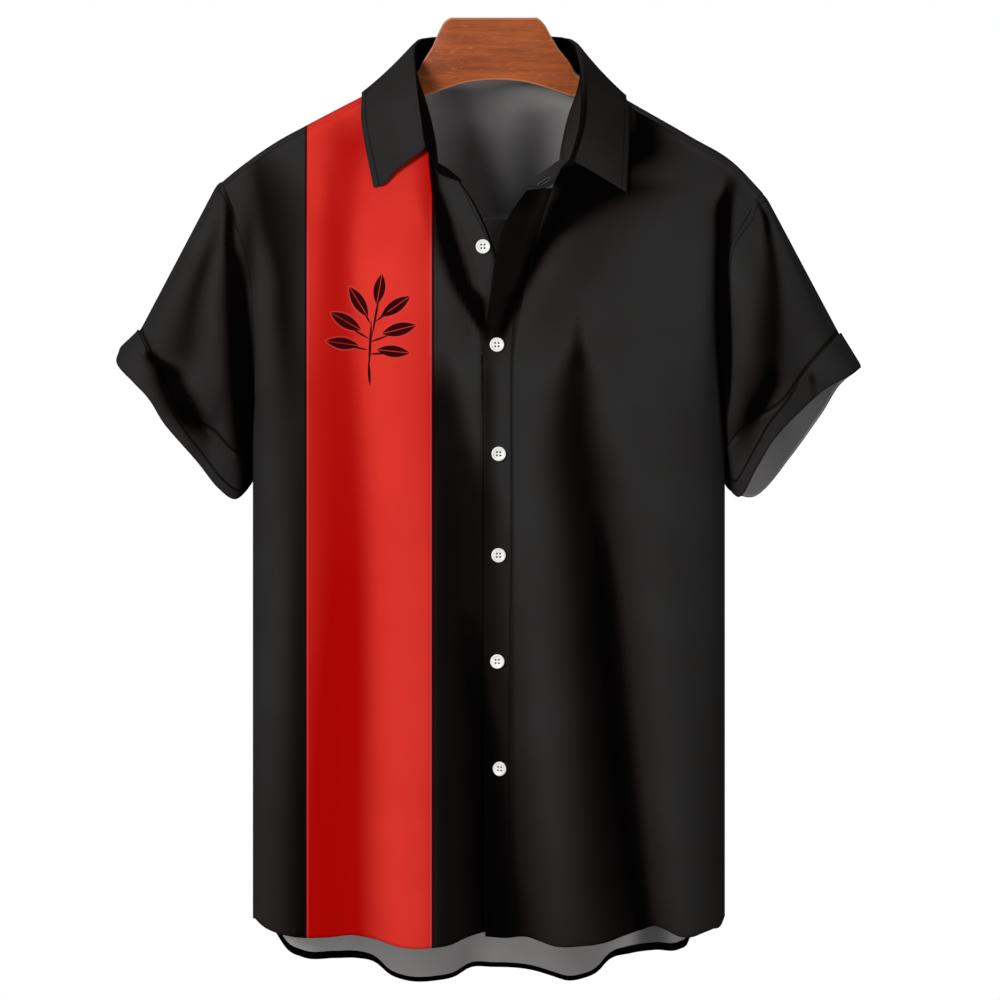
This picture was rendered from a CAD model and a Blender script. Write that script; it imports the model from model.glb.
import bpy
import math
import numpy as np
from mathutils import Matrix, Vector


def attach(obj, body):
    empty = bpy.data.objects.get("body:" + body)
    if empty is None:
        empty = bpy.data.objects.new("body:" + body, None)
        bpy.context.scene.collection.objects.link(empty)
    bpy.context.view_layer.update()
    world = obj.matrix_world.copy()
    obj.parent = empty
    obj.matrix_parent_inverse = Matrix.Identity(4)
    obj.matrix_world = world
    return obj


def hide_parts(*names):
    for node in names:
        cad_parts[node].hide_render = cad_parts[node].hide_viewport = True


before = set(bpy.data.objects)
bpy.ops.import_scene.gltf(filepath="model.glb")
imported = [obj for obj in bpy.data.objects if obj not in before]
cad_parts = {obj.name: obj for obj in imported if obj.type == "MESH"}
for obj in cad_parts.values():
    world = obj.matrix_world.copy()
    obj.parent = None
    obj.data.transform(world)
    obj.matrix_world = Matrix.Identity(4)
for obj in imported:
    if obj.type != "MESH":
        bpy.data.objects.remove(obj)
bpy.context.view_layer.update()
print("frame loaded")

# Lengths are millimetres until the meshes are made; x runs to the wearer's left, y to the back, z up.
mm = 0.001
cloth = dict(wall=0.9, lift=2.0, under=-2.3, round=11.0)
body = dict(
    middle=-1.0, halfWidth=205.0, wider=0.31, square=2.6, armpit=-331.0, yokeSeam=-172.0,
    neckAt=7, neckHalf=90, foldsFrom=40, leastDepth=0.35,
    front=dict(full=78.0, reach=95, nearNeck=38),
    back=dict(full=74.0, reach=80, nearNeck=32))
# Each piece before it was hung: width and length in metres, and area in square metres.
# Rows and columns of each piece's mesh; a sleeve also has rows on its cuff and passes that soften it.
meshes = dict(
    front=(260, 100), band=(260, 22), back=(150, 150), stand=(200, 14), leaf=(220, 30),
    sleeve=dict(rows=46, cuffRows=18, cols=192, softened=6))
shoulderLine = dict(
    x=[-250, -234, -209, -186, -159, -113, -72, -30, 7, 45, 88, 118, 174, 213, 238, 250],
    z=[-160, -144.4, -124.2, -108.6, -93.8, -69.8, -49, -26, -15, -27, -53.4, -71.4, -103.6, -127.6,
       -153.8, -167])
armRight = dict(
    z=[-143, -170, -194, -224, -255, -295, -331],
    x=[-234, -222, -213, -206.5, -204.5, -205, -206.2])
armLeft = dict(
    z=[-156, -177, -193, -217, -259, -300, -331],
    x=[238, 223, 212, 206.5, 204.5, 204, 204.2])
hemRight = dict(
    x=[-204, -199, -186, -174, -142, -119, -97, -79, -52, -34, -21, -5, 20],
    z=[-784, -789, -796, -799, -800, -798, -802, -808, -809, -806, -800, -795, -795])
hemLeft = dict(
    x=[-5, 15, 32, 44, 55, 77, 99, 117, 132, 144, 152, 164, 176, 184, 193, 201, 204],
    z=[-799, -800, -799, -803, -807, -807.5, -804.5, -798, -793, -790, -793, -799, -799.5, -796.5, -793,
       -789, -782])
hemBack = dict(
    x=[-204, -190, -184, -178, -164, -135, -117, -100, -87, -77, -47, -30, -19, 3, 37, 57, 67, 81, 95, 102,
       122, 144, 166, 172, 176, 184, 203],
    z=[-778, -792, -802, -811, -819, -820, -820, -824, -835, -839, -840, -836, -829, -828, -831, -837,
       -840, -838, -831, -823, -816, -813, -812, -808, -798, -790, -778])
# Folds: path of the middle, how far in (+) or out (-), and half width, at each height.
frontFolds = [
    dict(z=[-150, -300, -500, -800], x=[-124, -124, -123, -121], deep=[1, 4, 9, 13], wide=[24, 26, 28, 28]),
    dict(z=[-330, -510, -680, -800], x=[-30, -20, -6, 5], deep=[0, 8, 12, 14], wide=[12, 14, 17, 19]),
    dict(z=[-275, -400, -507, -681, -800], x=[74, 88, 99, 115, 134], deep=[0, 6, 9, 12, 14],
         wide=[8, 11, 14, 17, 18]),
    dict(z=[-200, -500, -800], x=-77, deep=[0, -4, -6], wide=24),
    dict(z=[-300, -500, -800], x=[48, 50, 58], deep=[0, -3, -6], wide=24),
    dict(z=[-300, -500, -800], x=[150, 157, 170], deep=[0, -3, -5], wide=[22, 22, 20]),
    dict(z=[-130, -200, -300, -420], x=[-196, -191, -186, -180], deep=[0, 4, 3, 0], wide=[9, 10, 12, 14]),
    dict(z=[-140, -200, -300, -400], x=199, deep=[0, 5, 6, 0], wide=8),
    dict(z=[-135, -160, -230, -270, -292], x=[-57, -51, -28, -14, -9], deep=[0, 5, 7, 4, 0],
         wide=[8, 9, 10, 9, 9]),
    dict(z=[-120, -150, -185, -220, -246, -268, -288], x=[84, 76, 58, 44, 31, 19, 12],
         deep=[0, 5, 7, 7, 6, 3, 0], wide=[14, 13, 11, 9, 8, 8, 8]),
]
backFolds = [
    dict(z=[-190, -400, -800], x=[-120, -126, -132], deep=[1, 7, 12], wide=[18, 24, 28]),
    dict(z=[-190, -400, -800], x=[-40, -30, -8], deep=[-1, 6, 11], wide=[16, 20, 24]),
    dict(z=[-190, -400, -800], x=[60, 74, 112], deep=[2, 7, 12], wide=[16, 22, 26]),
    dict(z=[-190, -400, -800], x=[-78, -80, -70], deep=[-2, -4, -6], wide=[18, 22, 24]),
    dict(z=[-190, -400, -800], x=[10, 26, 52], deep=[-2, -4, -6], wide=[18, 22, 24]),
    dict(z=[-190, -400, -800], x=[140, 150, 165], deep=[-1, -3, -5], wide=[18, 20, 20]),
]
neckDrop = dict(
    x=[-74, -72.5, -68, -60, -30, 7, 45, 74, 84, 88.5, 90],
    drop=[-4.4, -4, 0, 8, 22, 32, 22, 10, 0, -4, -4.4])


def smooth(table, at, value="x"):
    # a value read off a table by an even curve; the table's first list is what it is read along
    keys = np.array(next(iter(table.values())), float)
    vals = np.zeros(len(keys)) + table[value]
    if keys[0] > keys[-1]:
        keys = keys[::-1]
        vals = vals[::-1]
    slope = np.gradient(vals, keys)
    at = np.clip(at, keys[0], keys[-1])
    i = np.clip(np.searchsorted(keys, at, side="right") - 1, 0, len(keys) - 2)
    h = keys[i + 1] - keys[i]
    f = (at - keys[i]) / h
    return ((2 * f**3 - 3 * f**2 + 1) * vals[i] + (f**3 - 2 * f**2 + f) * h * slope[i]
            + (3 * f**2 - 2 * f**3) * vals[i + 1] + (f**3 - f**2) * h * slope[i + 1])


def shoulder(x):
    return smooth(shoulderLine, x, "z")


def foldSum(table, x, z):
    total = np.zeros(np.broadcast(x, z).shape)
    for fold in table:
        middle = smooth(fold, z, "x")
        deep = smooth(fold, z, "deep")
        wide = smooth(fold, z, "wide")
        total = total + deep * np.exp(-((x - middle) / wide) ** 2)
    return total


def depth(x, z, front):
    # how far the cloth stands in front of the hanger's middle plane, or behind it
    x, z = np.broadcast_arrays(np.asarray(x, float), np.asarray(z, float))
    drop = np.maximum(shoulder(x) - z, 0)
    form = body["front" if front else "back"]
    r = cloth["round"]
    over = r * np.sqrt(np.maximum(1 - (1 - np.minimum(drop / r, 1)) ** 2, 0))
    near = np.exp(-((x - body["neckAt"]) / body["neckHalf"]) ** 2)
    reach = form["reach"] - form["nearNeck"] * near
    grown = (form["full"] - r) * (1 - np.exp(-np.maximum(drop - r, 0) / reach))
    half = body["halfWidth"] + body["wider"] * np.maximum(z - body["armpit"], 0)
    u = np.minimum(np.abs((x - body["middle"]) / half), 1)
    side = (1 - u ** body["square"]) ** (1 / body["square"])
    fade = np.clip((drop - r) / body["foldsFrom"], 0, 1) * np.clip(side / 0.6, 0, 1)
    total = over * side ** 0.3 + grown * side - fade * foldSum(frontFolds if front else backFolds, x, z)
    return np.maximum(total, body["leastDepth"] * np.minimum(drop / 2, 1))


def onFront(x, z):
    return np.stack([x, -depth(x, z, True), z], axis=-1)


def onBack(x, z):
    return np.stack([x, depth(x, z, False), z], axis=-1)


def normals(grid, wrap=False):
    if wrap:
        across = np.roll(grid, -1, axis=1) - np.roll(grid, 1, axis=1)
    else:
        across = np.gradient(grid, axis=1)
    n = np.cross(across, np.gradient(grid, axis=0))
    return n / np.maximum(np.linalg.norm(n, axis=-1, keepdims=True), 1e-9)


def even(count):
    return np.linspace(0, 1, count)


def flip(grid):
    return grid[:, ::-1]


def runLengths(grid, axis):
    # distance along the cloth from the first row or column
    steps = np.linalg.norm(np.diff(grid, axis=axis), axis=-1)
    pad = np.zeros_like(np.take(steps, [0], axis=axis))
    return np.cumsum(np.concatenate([pad, steps], axis=axis), axis=axis)


def placePiece(name, mesh, node):
    mesh.update()
    piece = bpy.data.objects.new(name, mesh)
    bpy.context.scene.collection.objects.link(piece)
    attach(piece, "root")
    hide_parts(node)
    return piece


def clothPiece(name, grid, node, outside, inside, rub, wrap=False,
               innerRub=None, seam=None):
    # a grid of points made into a thin closed shell with its own length coordinates
    rows, cols = grid.shape[:2]
    n = normals(grid, wrap)
    outer = (grid + n * cloth["wall"] / 2).reshape(-1, 3)
    inner = (grid - n * cloth["wall"] / 2).reshape(-1, 3)
    count = rows * cols
    last = cols if wrap else cols - 1
    r, c = np.meshgrid(np.arange(rows - 1), np.arange(last), indexing="ij")
    a = (r * cols + c).ravel()
    b = (r * cols + (c + 1) % cols).ravel()
    quads = [np.stack([a, b, b + cols, a + cols], 1), np.stack([a, a + cols, b + cols, b], 1) + count]
    a = np.arange(last)
    b = (a + 1) % cols
    rim = [np.stack([a, a + count, b + count, b], 1)]
    a = (rows - 1) * cols + a
    b = (rows - 1) * cols + b
    rim.append(np.stack([a, b, b + count, a + count], 1))
    if not wrap:
        a = np.arange(rows - 1) * cols
        rim.append(np.stack([a, a + cols, a + cols + count, a + count], 1))
        a = a + cols - 1
        rim.append(np.stack([a, a + count, a + cols + count, a + cols], 1))
    faces = np.concatenate(quads + rim)
    mesh = bpy.data.meshes.new(name)
    mesh.from_pydata((np.vstack([outer, inner]) * mm).tolist(), [], faces.tolist())
    side = np.zeros(len(faces), int)
    side[len(quads[0]):2 * len(quads[0])] = 1
    mesh.polygons.foreach_set("material_index", side)
    mesh.polygons.foreach_set("use_smooth", np.ones(len(faces), bool))
    u = runLengths(grid, 1)
    v = runLengths(grid, 0)
    loops = np.zeros(len(mesh.loops), int)
    mesh.loops.foreach_get("vertex_index", loops)
    layers = dict(weave=(u, v), ends=(u[:, -1:] - u, v[-1:] - v))
    if seam is not None:
        layers["seam"] = (seam, u)
    for layer, (p, q) in layers.items():
        flatUv = np.stack([p.ravel(), q.ravel()], 1)
        both = np.vstack([flatUv, flatUv])
        uv = mesh.uv_layers.new(name=layer)
        uv.data.foreach_set("uv", both[loops].ravel())
    shade = mesh.attributes.new("rub", "FLOAT", "POINT")
    hidden = np.full((rows, cols), 0.5) if innerRub is None else innerRub.copy()
    hidden[[0, -1]] = rub[[0, -1]]
    if not wrap:
        hidden[:, [0, -1]] = rub[:, [0, -1]]
    shade.data.foreach_set("value", np.concatenate([rub.ravel(), hidden.ravel()]))
    mesh.materials.append(outside)
    mesh.materials.append(inside)
    piece = placePiece(name, mesh, node)


def plainPiece(name, points, faces, material, slot, node):
    mesh = bpy.data.meshes.new(name)
    mesh.from_pydata((np.array(points) * mm).tolist(), [], faces)
    mesh.materials.append(material)
    mesh.polygons.foreach_set("use_smooth", np.ones(len(mesh.polygons), bool))
    return placePiece(name, mesh, node)


def newTree(name):
    material = bpy.data.materials.new(name)
    material.use_nodes = True
    tree = material.node_tree
    return material, tree, tree.nodes["Principled BSDF"]


def feed(sockets, *values):
    # joins other nodes' outputs to a node's sockets in turn, or gives the sockets plain values
    for socket, value in zip(sockets, values):
        if hasattr(value, "is_linked"):
            socket.id_data.links.new(value, socket)
        else:
            socket.default_value = value


def addNode(kind, source, *values):
    # a node in the tree of its first source
    node = source.id_data.nodes.new("ShaderNode" + kind)
    feed(node.inputs, source, *values)
    return node


def calc(operation, first, second=0.0):
    source = first if hasattr(first, "is_linked") else second
    node = source.id_data.nodes.new("ShaderNodeMath")
    node.operation = operation
    feed(node.inputs, first, second)
    return node.outputs[0]


def times(first, second):
    return calc("MULTIPLY", first, second)


def minus(first, second):
    return calc("SUBTRACT", first, second)


def absolute(value):
    return calc("ABSOLUTE", value)


def mixColour(factor, *colours):
    node = addNode("Mix", factor)
    node.data_type = "RGBA"
    feed(node.inputs[6:8], *[(*c, 1) if isinstance(c, tuple) else c for c in colours])
    return node.outputs[2]


def split(vector):
    return addNode("SeparateXYZ", vector).outputs


def stretched(vector, scale):
    node = addNode("Mapping", vector)
    node.inputs["Scale"].default_value = scale
    return node.outputs[0]


def noise(vector, scale, detail=3.0, rough=0.5):
    node = addNode("TexNoise", vector)
    node.inputs["Scale"].default_value = scale
    node.inputs["Detail"].default_value = detail
    node.inputs["Roughness"].default_value = rough
    return node.outputs["Fac"]


def ramp(value, low, high, outLow=0.0, outHigh=1.0):
    return addNode("MapRange", value, low, high, outLow, outHigh).outputs["Result"]


def surface(shader, colour, rough, height, strength, distance):
    # what changes over a surface: its colour, its roughness and its fine relief
    bump = height.id_data.nodes.new("ShaderNodeBump")
    bump.inputs["Strength"].default_value = strength
    bump.inputs["Distance"].default_value = distance
    feed([bump.inputs["Height"]], height)
    sockets = [shader.inputs[label] for label in ("Base Color", "Roughness", "Normal")]
    feed(sockets, colour, rough, bump.outputs[0])


def newGroup(name, inputs, outputs, vectors=()):
    group = bpy.data.node_groups.new(name, "ShaderNodeTree")
    for label in inputs:
        kind = "NodeSocketVector" if label in vectors else "NodeSocketFloat"
        group.interface.new_socket(label, in_out="INPUT", socket_type=kind)
    for label in outputs:
        group.interface.new_socket(label, in_out="OUTPUT", socket_type="NodeSocketFloat")
    return group, group.nodes.new("NodeGroupInput"), group.nodes.new("NodeGroupOutput")


def makeWeave():
    # plain weave: two sets of threads, over and under
    group, into, out = newGroup("plainWeave", ["Lengths", "Threads"], ["Height", "Slub"], ["Lengths"])
    lengths, threads = into.outputs[0], into.outputs[1]
    parts = split(lengths)
    warp = calc("SINE", times(parts[0], threads))
    weft = calc("SINE", times(parts[1], threads))
    feed(out.inputs, times(warp, weft), noise(stretched(lengths, (0.9, 0.06, 1)), 1.0))
    return group


def makeStitch():
    # one row of stitches at a set distance from an edge; Across and Along are in millimetres
    group, into, out = newGroup("stitchRow", ["Across", "Along", "Offset", "Step", "Width"],
                                ["Thread", "Groove"])
    across, along, offset, step, width = list(into.outputs)[:5]
    away = absolute(minus(across, offset))
    beat = calc("FRACT", calc("DIVIDE", along, step))
    dash = ramp(absolute(minus(beat, 0.5)), 0.42, 0.34)
    feed(out.inputs, times(ramp(away, 0.5, 0.25), dash), ramp(calc("DIVIDE", away, width), 1.15, 0.55))
    return group


buttonhole = dict(at=(15.5, 6.0), half=4.5, slope=0.35, thread=(0.05, 0.05, 0.048))


def makeButtonhole():
    # an oval of close stitches round a slit, lying along the edge
    group, into, out = newGroup("buttonhole", ["Across", "Along", "HoleX", "HoleY"], ["Thread", "Slit"])
    across, along, holeX, holeY = list(into.outputs)[:4]
    offset = minus(across, holeX)
    side = calc("MAXIMUM", minus(absolute(offset), buttonhole["half"]), 0.0)
    rise = minus(minus(along, holeY), times(offset, buttonhole["slope"]))
    away = calc("SQRT", calc("ADD", times(side, side), times(rise, rise)))
    feed(out.inputs, times(ramp(away, 2.0, 1.6), ramp(away, 0.3, 0.7)), ramp(away, 0.7, 0.3))
    return group


weaveGroup = makeWeave()
stitchGroup = makeStitch()
buttonholeGroup = makeButtonhole()


def useGroup(group, source, *values):
    node = addNode("Group", source)
    node.node_tree = group
    feed(node.inputs, source, *values)
    return node.outputs


def lengthParts(tree, layer):
    uv = tree.nodes.new("ShaderNodeUVMap")
    uv.uv_map = layer
    across, along, _ = split(uv.outputs[0])
    return uv.outputs[0], across, along


blackLook = dict(
    valley=(0.0006, 0.0002, 0.0002), half=(0.0105, 0.0082, 0.0074), ridge=(0.0255, 0.0247, 0.0243),
    rough=0.78, sheen=0.01, specular=0.02, threads=9.0, cloud=14.0, bump=0.35, relief=0.0002)
redLook = dict(
    valley=(0.355, 0.001, 0.0005), ridge=(0.64, 0.032, 0.0225), edge=(0.50, 0.055, 0.055),
    rim=(0.012, 0.0004, 0.0004), ink=(0.03, 0.0012, 0.0012), left=-0.1592, right=-0.0505,
    tapers=(-0.155, -0.125, 0.003))
innerLook = dict(colour=(0.55, 0.535, 0.53), shade=(0.012, 0.011, 0.011))
hemLook = dict(
    colour=(0.0012, 0.0011, 0.001), band=4.3, soft=0.15, right=(-0.09, -0.115, 2.2), left=(0.088, 0.12, 2.6))
stitchLook = dict(step=2.6, edgeWidth=1.0, seamWidth=1.25, thread=(0.02,) * 3, groove=(0.0008,) * 3)
sprig = dict(
    at=(-0.104, -0.271),
    leaves=[(8, 34, 80, 14, 5.2), (22, 19, 35, 16, 5.6), (-10, 23, 122, 16, 5.6), (25, -1, 14, 16, 5.8),
            (-21, 6, 150, 16, 5.8), (20, -20, -6, 15, 5.2), (-24, -13, 172, 15, 5.2)],
    stems=[(5, 12, 80, 22, 1.0), (0, -14, 87, 22, 1.2), (-0.8, -39, 93, 12, 1.3), (10, 10, 38, 8, 0.9),
           (-3, 10, 120, 8, 0.9), (8, -9, 20, 9, 0.9), (-8, -5, 150, 9, 0.9), (7, -22, 2, 9, 0.9),
           (-10, -17, 168, 9, 0.9)])


def makeSprig():
    # a leafy sprig: each leaf is a pointed lens with a thin vein
    group, into, out = newGroup("leafySprig", ["Place"], ["Ink", "Outline"], ["Place"])
    ink = None
    for kind in ("leaves", "stems"):
        for x, z, angle, length, width in sprig[kind]:
            lay = addNode("Mapping", into.outputs[0])
            lay.vector_type = "TEXTURE"
            lay.inputs["Location"].default_value = (sprig["at"][0] + x * mm, 0, sprig["at"][1] + z * mm)
            lay.inputs["Rotation"].default_value = (0, -math.radians(angle), 0)
            lay.inputs["Scale"].default_value = (length * mm, 1, width * mm)
            parts = split(lay.outputs[0])
            across = absolute(parts[2])
            shape = minus(minus(1.0, times(parts[0], parts[0])), across)
            if kind == "leaves":
                shape = calc("MINIMUM", shape, times(minus(across, 0.05), 12.0))
            ink = shape if ink is None else calc("MAXIMUM", ink, shape)
    feed(out.inputs, ramp(ink, 0.0, 0.08), ramp(ink, -0.26, -0.12))
    return group


sprigGroup = makeSprig()


def hemShadow(colour, place, along):
    # a dark line inside the back hem, wider towards both sides
    x = split(place)[0]
    near, far, more = hemLook["right"]
    wide = ramp(x, near, far, hemLook["band"], hemLook["band"] + more)
    near, far, more = hemLook["left"]
    wide = calc("ADD", wide, ramp(x, near, far, 0.0, more))
    edge = ramp(minus(along, wide), hemLook["soft"], -hemLook["soft"])
    return mixColour(edge, colour, hemLook["colour"])


def redPanel(colour, place, lit):
    # the stripe with its paler edge, its sprig and the dark line where it meets the black cloth
    parts = split(place)
    low, high, less = redLook["tapers"]
    right = ramp(parts[2], low, high, redLook["right"], redLook["right"] - less)
    off = calc("MAXIMUM", minus(redLook["left"], parts[0]), minus(parts[0], right))
    stripe = ramp(off, 0.0003, -0.0003)
    line = times(ramp(off, -0.0022, -0.0012), stripe)
    line = times(line, ramp(parts[2], -0.2, -0.165, 0.7, 0.0))
    line = times(line, ramp(lit, 0.0, 0.9, 0.5, 1.0))
    red = mixColour(lit, redLook["valley"], redLook["ridge"])
    red = mixColour(line, red, redLook["edge"])
    ink, outline = useGroup(sprigGroup, place)
    red = mixColour(times(outline, 0.45), red, redLook["edge"])
    red = mixColour(ink, red, redLook["ink"])
    rim = times(ramp(off, 0.0024, 0.0013), 0.85)
    return mixColour(stripe, mixColour(rim, colour, redLook["rim"]), red)


def clothMaterial(name, stitches=(), striped=False, inside=False, hemShown=False, hole=None):
    material, tree, shader = newTree(name)
    lengths, across, along = lengthParts(tree, "weave")
    _, fromRight, fromTop = lengthParts(tree, "ends")
    rub = tree.nodes.new("ShaderNodeAttribute")
    rub.attribute_name = "rub"
    weave, slub = useGroup(weaveGroup, lengths, blackLook["threads"])
    place = tree.nodes.new("ShaderNodeTexCoord").outputs["Object"]
    cloudy = noise(place, blackLook["cloud"], 2.0)
    lit = times(rub.outputs["Fac"], ramp(cloudy, 0.3, 0.7, 0.84, 1.04))
    if inside:
        colour = mixColour(lit, innerLook["shade"], innerLook["colour"])
    else:
        colour = mixColour(ramp(lit, 0.0, 0.35), blackLook["valley"], blackLook["half"])
        colour = mixColour(ramp(lit, 0.35, 1.0), colour, blackLook["ridge"])
    if hemShown:
        colour = hemShadow(colour, place, along)
    if striped:
        colour = redPanel(colour, place, lit)
    if hole:
        sewn, slit = useGroup(buttonholeGroup, fromRight, along, *hole)
        colour = mixColour(times(sewn, lit), colour, buttonhole["thread"])
        colour = mixColour(slit, colour, blackLook["valley"])
    groove = None
    for side, offset in stitches:
        width, deep = stitchLook["edgeWidth"], 0.6
        if side == "seam":
            _, distance, run = lengthParts(tree, "seam")
            width, deep = stitchLook["seamWidth"], 1.0
        else:
            distance = dict(left=across, right=fromRight, low=along, top=fromTop)[side]
            run = along if side in ("left", "right") else across
        thread, dent = useGroup(stitchGroup, distance, run, offset, stitchLook["step"], width)
        colour = mixColour(times(dent, deep), colour, stitchLook["groove"])
        colour = mixColour(times(thread, times(lit, 0.8)), colour, stitchLook["thread"])
        height = minus(times(thread, 0.6), dent)
        groove = height if groove is None else calc("ADD", groove, height)
    rough = ramp(slub, 0.3, 0.7, blackLook["rough"] - 0.04, blackLook["rough"] + 0.06)
    height = calc("ADD", times(weave, 0.5), times(slub, 0.8))
    if groove is not None:
        height = calc("ADD", height, times(groove, 2.5))
    surface(shader, colour, rough, height, blackLook["bump"], blackLook["relief"])
    shader.inputs["Sheen Weight"].default_value = 0.0 if inside else blackLook["sheen"]
    shader.inputs["Sheen Roughness"].default_value = 0.4
    shader.inputs["Specular IOR Level"].default_value = blackLook["specular"]
    return material


# Where the cloth looks deepest: path of each band, how strong it is, its half widths to the left and right
# (the same if only left is given) and how sharp it is (2 if not given). One number stands for a whole path.
frontShades = [
    dict(z=[-92, -108, -125, -138, -150, -180, -300, -368, -450, -525, -600, -690, -800],
         x=[-119, -119, -122, -127, -131, -133, -131, -128, -124, -123, -125, -129, -130],
         dark=[0.5, 0.8, 0.78, 0.76, 0.76, 0.8, 0.88, 0.92, 0.97, 1.05, 1.1, 1.1, 1.15],
         left=[24, 26, 24, 20, 16, 16, 28, 36, 41, 44, 48, 52, 56],
         right=[14, 14, 15, 17, 19, 17, 19, 21, 21, 21, 24, 28, 30], sharp=3),
    dict(z=[-368, -420, -472, -650, -733, -800], x=-165, dark=[0.2, 0.45, 0.6, 0.5, 0.4, 0.2], left=12,
         right=8),
    dict(z=[-150, -250, -350, -450], x=-52, dark=[0.25, 0.28, 0.25, 0.12], left=16, right=2),
    dict(z=[-290, -316, -368, -394, -420, -446, -498, -551, -603, -655, -707, -760, -800],
         x=[-46, -44, -36, -28, -21, -21, -21, -19, -17.5, -14, -10.5, -7, -5],
         dark=[0.1, 0.7, 0.85, 0.87, 0.87, 0.88, 0.88, 0.88, 0.88, 0.88, 0.88, 0.88, 0.88],
         left=[7, 9, 16.5, 24.5, 31.5, 31.5, 31.5, 33.5, 35, 38.5, 42, 45.5, 47.5],
         right=[9, 15, 21, 26, 29, 32, 37, 41, 46, 50, 54, 59, 64], sharp=3.6, sharpLeft=12),
    dict(z=[-268, -300, -316, -350, -394, -430, -465], x=-3, dark=[0.1, 0.55, 0.72, 0.68, 0.6, 0.4, 0.1],
         left=5, right=9),
    dict(z=[-525, -551, -577, -603, -629, -655, -681, -707, -733, -760, -800],
         x=[-16, -13, -12.5, -10.5, -8, -7, -5, -3.5, -1.5, 1.5, 6],
         dark=[0.4, 0.85, 0.95, 1, 1, 1, 1, 1, 1, 1, 1], left=[10, 13, 12, 12, 11, 13, 14, 15, 19, 21, 23],
         right=[8, 7, 10, 13, 18, 19, 21, 23, 24, 27, 27], sharp=4),
    dict(z=[-268, -292, -316, -342, -368, -394, -446, -498, -551, -603, -655, -707, -760, -800],
         x=[76, 77, 75, 74, 74, 78, 83.5, 89, 93.5, 98, 103, 108, 115, 121],
         dark=[0.3, 0.88, 0.87, 0.9, 0.9, 0.9, 0.88, 0.88, 0.89, 0.88, 0.88, 0.88, 0.87, 0.84],
         left=[3, 9, 18, 21, 24.5, 28.5, 27.5, 30, 32, 34, 37, 39.5, 43, 46],
         right=[2.5, 6.5, 15.5, 20, 26, 28.5, 31.5, 34, 35, 37, 37, 38, 39, 40], sharp=3),
    dict(z=[-420, -446, -498, -551, -603, -655, -707, -760, -800],
         x=[89, 94, 99, 103, 108, 113, 120, 128.5, 134], dark=[0.1, 0.75, 1, 1, 1, 1, 1, 1, 1],
         left=[6, 8, 12, 11.5, 11.5, 12.5, 12, 12, 10.5], right=[5, 7, 12, 13, 14, 14.5, 13, 10, 10],
         sharp=3.5),
    dict(z=[-116, -140, -158, -180], x=[-54, -54, -53, -53], dark=[0.75, 0.8, 0.7, 0.2],
         left=[14, 11, 8, 4], right=3),
    dict(z=[-500, -620, -800], x=207, dark=[0, 0.25, 0.45], left=[14, 16, 20], right=9),
    dict(z=[-118, -150, -185, -220, -265, -320, -420], x=[-204, -198, -192, -182, -179, -174, -172],
         dark=[0.5, 0.8, 0.85, 0.85, 0.85, 0.6, 0.1], left=[8, 10, 11, 10, 11, 12, 14],
         right=[12, 30, 34, 20, 18, 20, 20]),
    dict(z=[-160, -185, -203, -250, -300, -340], x=-210, dark=[0.1, 0.6, 0.7, 0.75, 0.6, 0.1], left=8,
         right=7),
    dict(z=[-66, -100, -122, -137, -150, -165, -178, -189, -203, -217, -231, -245, -258, -272, -288],
         x=[128, 131, 122, 76, 80, 62, 55, 49, 41, 34, 28, 21, 16, 11, 8],
         dark=[0.8, 1.1, 1.1, 1.3, 1.3, 1.3, 1.25, 1.2, 1.15, 1.15, 1.1, 1.1, 1.1, 1.0, 0.1],
         left=[12, 14, 30, 42, 30, 14, 12, 11, 10, 8, 7, 7, 6, 5, 4],
         right=[22, 24, 34, 62, 58, 46, 32, 20, 13, 10, 8, 8, 7, 6, 5], sharp=2.6),
    dict(z=[-150, -178, -203, -231, -258, -290], x=[120, 100, 84, 70, 60, 50],
         dark=[0.5, 0.35, 0.3, 0.25, 0.25, 0.15], left=[60, 60, 50, 40, 34, 30],
         right=[36, 34, 30, 28, 26, 24]),
    dict(z=[-122, -150, -163, -190, -220, -236, -246, -258, -268, -284],
         x=[-49, -46, -43, -36, -27, -21.5, -17, -12, -8.5, -4],
         dark=[1.1, 1.1, 1.2, 1.2, 1.2, 1.2, 1.2, 1.2, 1.1, 0.2], left=[5, 7, 8, 13, 13, 12, 11, 8, 5, 3],
         right=[2, 4, 6, 8, 9, 9, 14, 10, 7, 4], sharp=4),
    dict(z=[-146, -165, -190, -280, -340, -400], x=[207, 204, 203, 202, 204, 206],
         dark=[0.8, 1.2, 1.2, 1.2, 1.2, 0.6], left=[3, 9, 9, 8, 5, 3], right=8, sharp=4),
]
lapelShades = [
    dict(z=[-136, -150, -163, -170, -185, -203, -231, -262, -278, -290],
         x=[30, 27, 24, 20, 14, 10, 4, 0, 0, 0],
         dark=[0.9, 0.97, 0.95, 0.86, 0.84, 0.84, 0.84, 0.82, 0.7, 0.0], left=60,
         right=[20, 22, 22, 24, 28, 26, 22, 17, 12, 8], sharp=6),
    dict(z=[-150, -200, -280], x=[45, 35, 10], dark=[0.45, 0.45, 0.3], left=40),
]
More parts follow.
